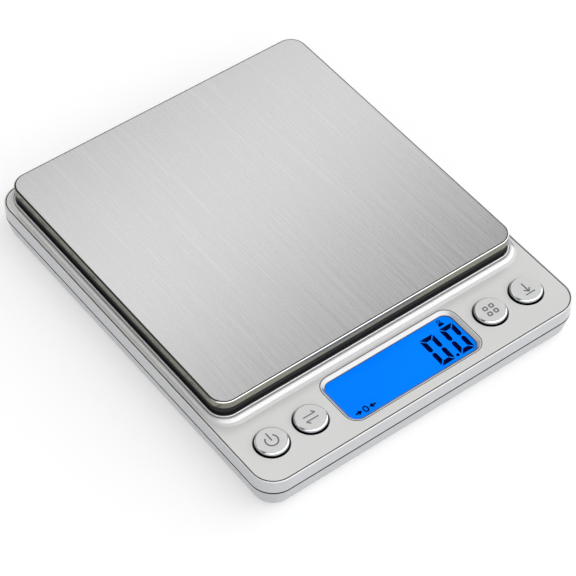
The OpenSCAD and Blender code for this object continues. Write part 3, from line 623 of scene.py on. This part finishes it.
def oval(middle, rx, ry, steps=28):
    """Points round an oval."""
    turns = [2 * math.pi * i / steps for i in range(steps)]
    return [(middle[0] + rx * math.cos(turn), middle[1] + ry * math.sin(turn)) for turn in turns]


def slanted(x, y):
    """A point of the digits, leaning slightly to the right above their base line."""
    return x + SLANT * (y - DIGIT_BASE_Y), y


def upright_segment(x, corner, point, outward):
    """An upright stroke from the digit's corner, where it is mitred, to its point near the middle."""
    way = 1 if point > corner else -1
    outer, inner = x + outward * STROKE / 2, x - outward * STROKE / 2
    neck = point - way * POINT_LENGTH
    shoulder = point - way * SHOULDER_BACK
    return [(outer, corner), (inner, corner + way * STROKE), (inner, neck),
            (x - outward * SHOULDER_OUT, shoulder), (x, point), (x + outward * SHOULDER_OUT, shoulder),
            (outer, neck)]


def level_segment(left, right, y, inward):
    """A level stroke at the top or bottom of a digit, mitred at both ends."""
    inner_y = y + inward * STROKE
    inner_left, inner_right = left + STROKE + INNER_TRIM, right - STROKE - INNER_TRIM
    return [(left + OUTER_TRIM, y), (right - OUTER_TRIM, y), (inner_right, inner_y),
            (inner_left, inner_y)]


def zero_digit(left):
    """Outlines of the six strokes of a zero."""
    right = left + DIGIT_W
    base, top = DIGIT_BASE_Y, DIGIT_BASE_Y + DIGIT_H
    middle = (base + top) / 2
    outlines = [level_segment(left, right, base, 1), level_segment(left, right, top, -1)]
    for x, outward in ((left + STROKE / 2, -1), (right - STROKE / 2, 1)):
        outlines.append(upright_segment(x, base + 2 * SEGMENT_GAP, middle - SEGMENT_GAP, outward))
        outlines.append(upright_segment(x, top - 2 * SEGMENT_GAP, middle + SEGMENT_GAP, outward))
    return outlines


def arrow_outline(middle, way):
    """An arrow on that side of a middle point, pointing at it."""
    x, y = middle
    tail, tip = x + way * ARROW_TAIL, x + way * ARROW_TIP
    neck = tip + way * ARROW_HALF * ARROW_HEAD
    return [(tail, y - ARROW_STEM), (neck, y - ARROW_STEM), (neck, y - ARROW_HALF), (tip, y),
            (neck, y + ARROW_HALF), (neck, y + ARROW_STEM), (tail, y + ARROW_STEM)]


def add_digits(mesh, z):
    """Two zeros with a decimal point between them."""
    outlines = [stroke for left in DIGIT_LEFT_X for stroke in zero_digit(left)]
    outlines.append(oval((DOT_X, DIGIT_BASE_Y + DOT_RISE), DOT_R, DOT_R))
    for outline in outlines:
        add_polygon(mesh, [slanted(x, y) for x, y in outline], z)


def add_zero_mark(mesh, z):
    """The usual sign that the scale reads zero: two arrows pointing at a small oval."""
    add_band(mesh, ZERO_MARK, OVAL_REACH, OVAL_STROKE, z)
    for way in (-1, 1):
        add_polygon(mesh, arrow_outline(ZERO_MARK, way), z)


def add_weight_mark(mesh, z):
    """The unit sign: a small balance weight with a knob."""
    x, y = WEIGHT_MARK
    body = [(x - WEIGHT_FOOT, y), (x + WEIGHT_FOOT, y), (x + WEIGHT_TOP, y + WEIGHT_H),
            (x - WEIGHT_TOP, y + WEIGHT_H)]
    add_polygon(mesh, body, z)
    add_band(mesh, (x, y + KNOB_RISE), KNOB_REACH, KNOB_STROKE, z)


def make_readout():
    """The dark strokes of the display, just above its glass."""
    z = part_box("lcd_glass")[1][2] + INK_GAP
    mesh = bmesh.new()
    add_digits(mesh, z)
    add_zero_mark(mesh, z)
    add_weight_mark(mesh, z)
    bmesh.ops.recalc_face_normals(mesh, faces=mesh.faces)
    data = bpy.data.meshes.new("lcd_segments")
    mesh.to_mesh(data)
    mesh.free()
    segments = bpy.data.objects.new("lcd_segments", data)
    bpy.context.collection.objects.link(segments)
    data.materials.append(display_ink())
    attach(segments, "base")


# ---------------------------------------------------------------------------------------------
# Load cell
# ---------------------------------------------------------------------------------------------


def make_bending_beam():
    """The load cell and its gauge covers, as copies of their meshes that stand in for the hidden
    originals.
    """
    for name, slot in (("load_cell", "beam_aluminium"), ("strain_gauge_covers", "gauge_coating")):
        piece = bpy.data.objects.new(name + "_bending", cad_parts[name].data.copy())
        bpy.context.collection.objects.link(piece)
        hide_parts(name)
        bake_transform(piece)


# ---------------------------------------------------------------------------------------------
# Studio
# ---------------------------------------------------------------------------------------------

CAMERA_AZIMUTH = -37.66         # degrees to the right of straight ahead of the scale's front
CAMERA_ELEVATION = 48.98        # degrees above the table
CAMERA_ROLL = 0.66              # degrees
CAMERA_DISTANCE = 654.1 * MM
CAMERA_TARGET = Vector((-7.86, -12.37, 12.6)) * MM
CAMERA_LENS = 151.4             # focal length in mm, for the sensor's width in mm
SENSOR = 36.0
CLIP_START = 10 * MM
FLOOR_REACH = 3.0               # from the middle of the floor to its sides


def direction(azimuth, elevation):
    """Unit vector from the object towards a viewer at those angles, in degrees."""
    a, e = math.radians(azimuth), math.radians(elevation)
    return Vector((math.sin(a) * math.cos(e), -math.cos(a) * math.cos(e), math.sin(e)))


def make_camera():
    """A long lens that looks down on the front left of the scale."""
    back = direction(CAMERA_AZIMUTH, CAMERA_ELEVATION)
    right = Vector((0, 0, 1)).cross(back).normalized()
    up = back.cross(right)
    roll = Matrix.Rotation(math.radians(CAMERA_ROLL), 4, "Z")
    turn = Matrix((right, up, back)).transposed().to_4x4() @ roll
    data = bpy.data.cameras.new("camera")
    data.lens = CAMERA_LENS
    data.sensor_width = SENSOR
    data.clip_start = CLIP_START
    camera = bpy.data.objects.new("camera", data)
    camera.matrix_world = Matrix.Translation(CAMERA_TARGET + back * CAMERA_DISTANCE) @ turn
    bpy.context.collection.objects.link(camera)
    bpy.context.scene.camera = camera


def white_floor():
    """A sheet of white acrylic, lit a little from below."""
    dark_tint, light_tint = (0.52, 0.51, 0.50), (0.54, 0.53, 0.52)
    s = Shader("studio_floor", Roughness=0.9, Emission_Strength=1.0)
    cloud = s.noise(4)
    s.link(s.mix(cloud, dark_tint, light_tint), "Base Color")
    s.link(s.mix(cloud, grey(0.44), grey(0.45)), "Emission Color")
    return s.material


def make_floor():
    """A wide pale floor under the scale."""
    corners = [(x * FLOOR_REACH, y * FLOOR_REACH, 0) for x, y in ((-1, -1), (1, -1), (1, 1), (-1, 1))]
    data = bpy.data.meshes.new("floor")
    data.from_pydata(corners, [], [(0, 1, 2, 3)])
    floor = bpy.data.objects.new("floor", data)
    data.materials.append(white_floor())
    bpy.context.collection.objects.link(floor)


# How bright the studio is, by angle from straight up in degrees towards the rear
SKY_BANDS = [
    (-90, 0.4), (-72, 0.5),                             # dim near the floor in front
    (-62, 2.1), (-6, 2.2),                              # a broad ceiling light over the front
    (2, 0.25), (14, 0.2), (21, 0.4), (28, 0.5),         # dark overhead
    (31.5, 1.95), (33, 1.95), (38, 0.9), (48, 0.25),    # a narrow strip light behind
    (60, 0.3), (74, 1.1), (90, 1.1),                    # a pale wall behind
]
SKY_COOL = (0.965, 0.99, 1.02)  # colour of the ceiling light
SKY_TURN = 12                   # turn of the strips, in degrees seen from above
SKY_LEFT = 0.57                 # brightness at the left, as a share of that at the right
SKY_SIDES = (-0.8, 0.2)         # how far left and right that change starts and ends, as sines


def make_sky():
    """A studio with its lights in long strips from left to right, and less light on the left."""
    world = bpy.data.worlds.new("studio")
    bpy.context.scene.world = world
    world.use_nodes = True
    sky = Nodes(world.node_tree)
    toward = sky.node("ShaderNodeTexCoord").outputs["Generated"]
    where = sky.node("ShaderNodeSeparateXYZ", Vector=toward)
    turn = math.radians(SKY_TURN)
    rearward = sky.math("SUBTRACT", sky.math("MULTIPLY", where.outputs["Y"], math.cos(turn)),
                        sky.math("MULTIPLY", where.outputs["X"], math.sin(turn)))
    angle = sky.math("ARCTAN2", rearward, where.outputs["Z"])
    bands = sky.node("ShaderNodeValToRGB", Fac=sky.ramp(angle, -math.pi / 2, math.pi / 2))
    stops = bands.color_ramp.elements
    peak = max(level for _, level in SKY_BANDS) * max(SKY_COOL)
    while len(stops) < len(SKY_BANDS):
        stops.new(1.0)
    for stop, (degrees, level) in zip(stops, SKY_BANDS):
        tint = SKY_COOL if degrees < 0 else grey(1.0)
        stop.position = (degrees + 90) / 180
        stop.color = (*scaled(tint, level / peak), 1.0)
    side = sky.remap(where.outputs["X"], SKY_LEFT * peak, peak, *SKY_SIDES)
    background = world.node_tree.nodes["Background"]
    sky.feed(background.inputs["Color"], bands.outputs["Color"])
    sky.feed(background.inputs["Strength"], side)


def make_studio():
    """The floor, the camera and the light."""
    make_floor()
    make_camera()
    make_sky()
    bpy.context.scene.view_settings.view_transform = "Standard"


shade_everything()
make_readout()
make_bending_beam()
make_studio()
